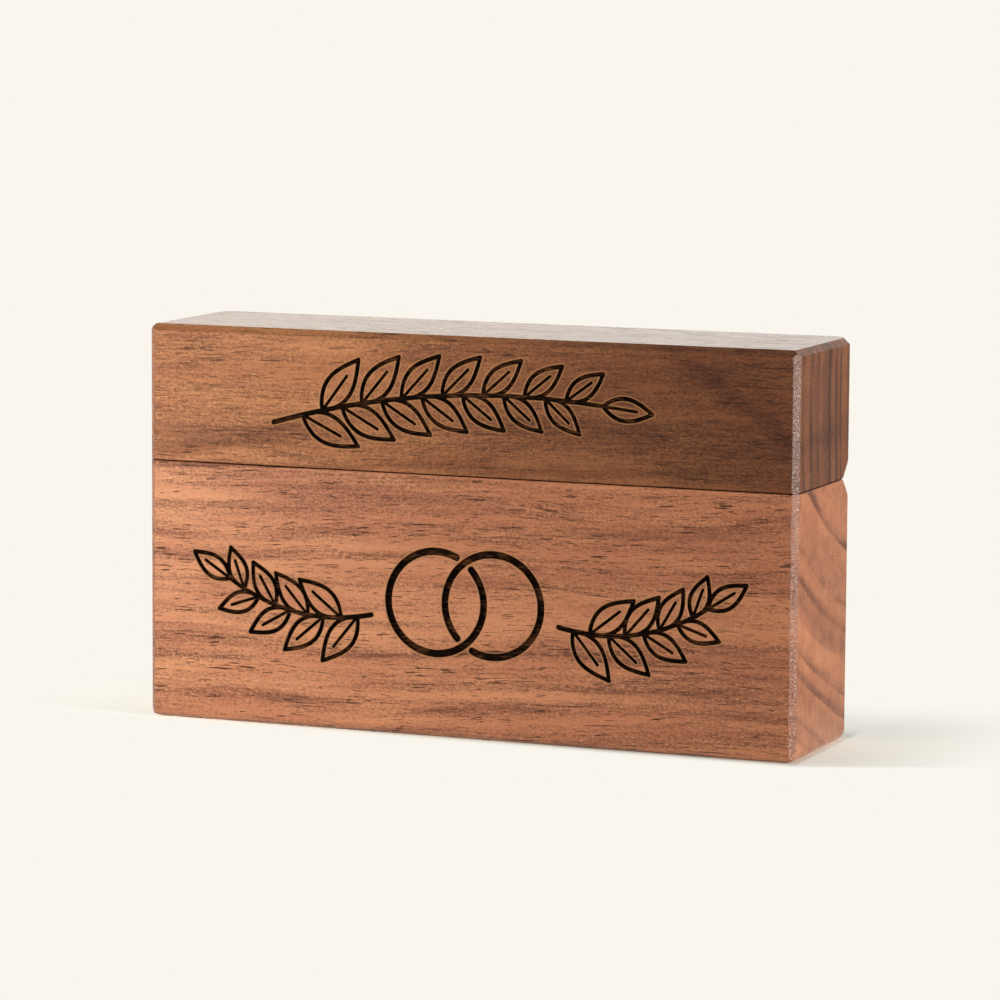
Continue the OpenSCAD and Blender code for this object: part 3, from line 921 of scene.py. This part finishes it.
# %% Velvet and foam
def new_velvet(name, ground, nap):
    """Velvet: a dark ground, a nap that lies in soft patches, and a pile of fine tufts as relief."""
    material, tree, shader = new_material(
        name, Specular_IOR_Level=0.2, Sheen_Weight=0.7, Sheen_Roughness=0.35)
    place = place_in_mm(tree)
    lie = ramp(tree, noise(tree, place, (9, 4, 4), 2.0, 3.0), 0.36, 0.66)
    tuft = noise(tree, place, (0.28, 0.28, 0.28), 6.0)
    stroked = sums(tree, "MULTIPLY_ADD", lie, 0.55, ramp(tree, tuft, 0.36, 0.64, 0.0, 0.45))
    rough = sums(tree, "MULTIPLY_ADD", tuft, 0.2, 0.75)
    dress(tree, shader, mix(tree, stroked, ground, nap), rough, tuft, strength=0.8, depth=0.14)
    return material


def new_foam(name, pale, cell):
    """Open foam: pale, matt, with small cells."""
    material, tree, shader = new_material(name, Specular_IOR_Level=0.2)
    place = place_in_mm(tree)
    cells = noise(tree, place, (0.35, 0.35, 0.35), 3.0)
    colour = mix(tree, ramp(tree, cells, 0.35, 0.6), cell, pale)
    dress(tree, shader, colour, sums(tree, "MULTIPLY_ADD", cells, 0.2, 0.8), cells, strength=0.6, depth=0.15)
    return material


velvet = new_velvet("velvet_pile", linear(46, 47, 52), linear(112, 113, 119))
foam = new_foam("open_foam", linear(222, 220, 214), linear(182, 180, 174))
print("materials:", velvet.name, "and", foam.name)

# %% [markdown]
# The same surface makes the foam cores and the covers over them, each within the box of its own solid.
# The covers get their velvet later, when they have swollen.

# %% Velvet rolls
covers = {}
for end in ("front", "back"):
    covers[end] = grid_mesh(end + "_velvet_roll", roll_points(end + "_roll_cover"))
    core = grid_mesh(end + "_foam_core", roll_points(end + "_roll_core"))
    core.data.materials.append(foam)
    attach(core, "base")
    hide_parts(end + "_roll_core")
print("rolls: two velvet forms over foam cores")

# %% [markdown]
# The lid's bay ends in a thin velvet pad that keeps a ring from rattling. It is flat where it is glued
# and crowned where it shows, with soft edges all round. Here it is a closed grid: rings of a rounded
# rectangle that grow from the glued middle, turn over the edge and shrink to the middle of the crown.

# %% Lid pad
PAD_RINGS, PAD_ROUND = 28, 160
PAD_CORNER, PAD_GAP, PAD_SKIN = 2.2, 0.03, 0.02
PAD_START, PAD_FLAT, PAD_EDGE = 0.02, 0.9, 0.75


def rounded_plan(half, corner, turn):
    """Outline of a rounded rectangle: its corners are arcs, and turn goes once round it."""
    c, s = np.cos(turn), np.sin(turn)
    square = np.maximum(np.abs(c) / half[0], np.abs(s) / half[1])
    x, y = c / square, s / square
    inner = np.array(half) - corner
    over_x, over_y = np.maximum(np.abs(x) - inner[0], 0), np.maximum(np.abs(y) - inner[1], 0)
    reach = np.hypot(over_x, over_y)
    pull = np.where((over_x > 0) & (over_y > 0) & (reach > corner), corner / np.maximum(reach, 1e-9), 1.0)
    return (np.sign(x) * np.where(over_x > 0, inner[0] + over_x * pull, np.abs(x)),
            np.sign(y) * np.where(over_y > 0, inner[1] + over_y * pull, np.abs(y)))


def pad_points(node):
    """Rings of the pad: the glued side grows flat, the edge turns over as an ellipse, the crown goes in."""
    low, high = (np.array(corner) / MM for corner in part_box(node))
    middle, half = (low + high) / 2, (high - low) / 2
    turn = np.linspace(0, 2 * np.pi, PAD_ROUND, endpoint=False)
    plan_x, plan_y = rounded_plan(half[:2] - PAD_GAP, PAD_CORNER, turn)
    flat = np.linspace(PAD_START, PAD_FLAT, PAD_RINGS)
    over = np.linspace(0, np.pi, PAD_RINGS)
    grow = np.concatenate([flat, PAD_FLAT + (1 - PAD_FLAT) * np.sin(over)[1:-1], flat[::-1]])[:, None]
    crown = -PAD_EDGE - (1 - PAD_EDGE) * np.cos(flat[::-1] / PAD_FLAT * np.pi / 2) ** 0.8
    drop = np.concatenate([np.zeros(PAD_RINGS), -PAD_EDGE / 2 * (1 - np.cos(over))[1:-1], crown])[:, None]
    z = high[2] - PAD_SKIN + drop * (high[2] - low[2] - 2 * PAD_SKIN)
    return np.stack(np.broadcast_arrays(middle[0] + grow * plan_x, middle[1] + grow * plan_y, z), axis=2)


pad = grid_mesh("lid_velvet_pad", pad_points("lid_lining"))
work = bmesh.new()
work.from_mesh(pad.data)
bmesh.ops.holes_fill(work, edges=[e for e in work.edges if e.is_boundary])
bmesh.ops.recalc_face_normals(work, faces=work.faces)
work.to_mesh(pad.data)
work.free()
print("lid pad:", len(pad.data.polygons), "faces")

# %% [markdown]
# Velvet over foam is never dead flat: the foam pushes, the cloth is held where it is glued, and it swells
# between. That could be shaped by hand. Here it is left to cloth simulation. Each form is made ten times
# as large, because cloth is slow to settle at the size of a ring, remeshed into even cells, and blown up
# a little with its glued side pinned. Then it goes back to size, and no point moves further than the room
# beside it allows.

# %% Cloth pass
ENLARGED = 10.0
CELL, SWELL = 0.7, 0.22
PRESSURE, FRAMES = 4.0, 20
MARGIN = 0.02


def swell(piece, node, glued_up):
    """Lets a closed form swell as cloth, by SWELL at most and inside its box, with its glued side pinned."""
    low, high = (np.array(corner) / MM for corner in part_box(node))
    piece.data.transform(Matrix.Scale(ENLARGED, 4))
    cells = piece.modifiers.new("even cells", "REMESH")
    cells.mode, cells.voxel_size = "VOXEL", CELL * MM * ENLARGED
    even = bpy.data.meshes.new_from_object(piece.evaluated_get(bpy.context.evaluated_depsgraph_get()))
    piece.modifiers.clear()
    piece.data = even
    before = mesh_points(even) / (MM * ENLARGED)
    from_glue = high[2] - before[:, 2] if glued_up else before[:, 2] - low[2]
    pinned = piece.vertex_groups.new(name="glued")
    pinned.add(np.flatnonzero(from_glue < CELL).tolist(), 1.0, "REPLACE")

    cloth = piece.modifiers.new("cloth", "CLOTH")
    cloth.settings.vertex_group_mass = pinned.name
    cloth.settings.use_pressure, cloth.settings.uniform_pressure_force = True, PRESSURE
    cloth.settings.effector_weights.gravity = 0.0
    cloth.settings.quality = 6
    cloth.collision_settings.use_collision = False
    cloth.point_cache.frame_start, cloth.point_cache.frame_end = 1, FRAMES
    for step in range(1, FRAMES + 1):
        scene.frame_set(step)
    blown = bpy.data.meshes.new_from_object(piece.evaluated_get(bpy.context.evaluated_depsgraph_get()))
    after = mesh_points(blown) / (MM * ENLARGED)
    scene.frame_set(1)
    piece.modifiers.clear()
    piece.vertex_groups.clear()

    move = after - before
    length = np.linalg.norm(move, axis=1, keepdims=True)
    moved = before + move * np.minimum(1, SWELL / np.maximum(length, 1e-9))
    moved = np.clip(moved, low + MARGIN, high - MARGIN)
    blown.vertices.foreach_set("co", (moved * MM).ravel())
    blown.update()
    blown.name = piece.name
    piece.data = blown
    blown.shade_smooth()
    longest = round(float(length.max()), 2)
    print(piece.name + ":", len(blown.polygons), "cells, longest move", longest, "mm before the cap")


for end, cover in covers.items():
    swell(cover, end + "_roll_cover", False)
swell(pad, "lid_lining", True)
print("cloth pass", "done")

# %% [markdown]
# A cover is open below, so its underside is cut away, and Solidify gives the cloth its thickness, inwards
# to the foam. One level of subdivision smooths the velvet.

# %% Soft pieces
COVER_THICK, HEM = 0.7, 0.5


def open_below(piece, foot):
    """Cuts the underside off a cover, a hem above its foot, and draws the new edge down to the foot."""
    hem = foot + HEM * MM
    work = bmesh.new()
    work.from_mesh(piece.data)
    everything = [*work.verts, *work.edges, *work.faces]
    bmesh.ops.bisect_plane(work, geom=everything, dist=1e-6 * MM, plane_co=(0, 0, hem), plane_no=(0, 0, 1),
                           clear_inner=True)
    work.to_mesh(piece.data)
    work.free()
    place = mesh_points(piece.data)
    place[place[:, 2] < hem + WELD, 2] = foot
    piece.data.vertices.foreach_set("co", place.ravel())
    piece.data.update()


for end, cover in covers.items():
    open_below(cover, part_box(end + "_roll_cover")[0].z)
soft_pieces = (
    (covers["front"], "base", "front_roll_cover", 0.8),
    (covers["back"], "base", "back_roll_cover", 0.8),
    (pad, "lid", "lid_lining", 0.7),
)
for piece, body, node, fill in soft_pieces:
    piece.data.materials.append(velvet)
    finer = piece.modifiers.new("finer", "SUBSURF")
    finer.levels = finer.render_levels = 1
    if piece is not pad:
        cloth = piece.modifiers.new("cloth thickness", "SOLIDIFY")
        cloth.thickness, cloth.offset = COVER_THICK * MM, -1.0
    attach(piece, body)
    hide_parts(node)
print("velvet on", len(soft_pieces), "pieces")
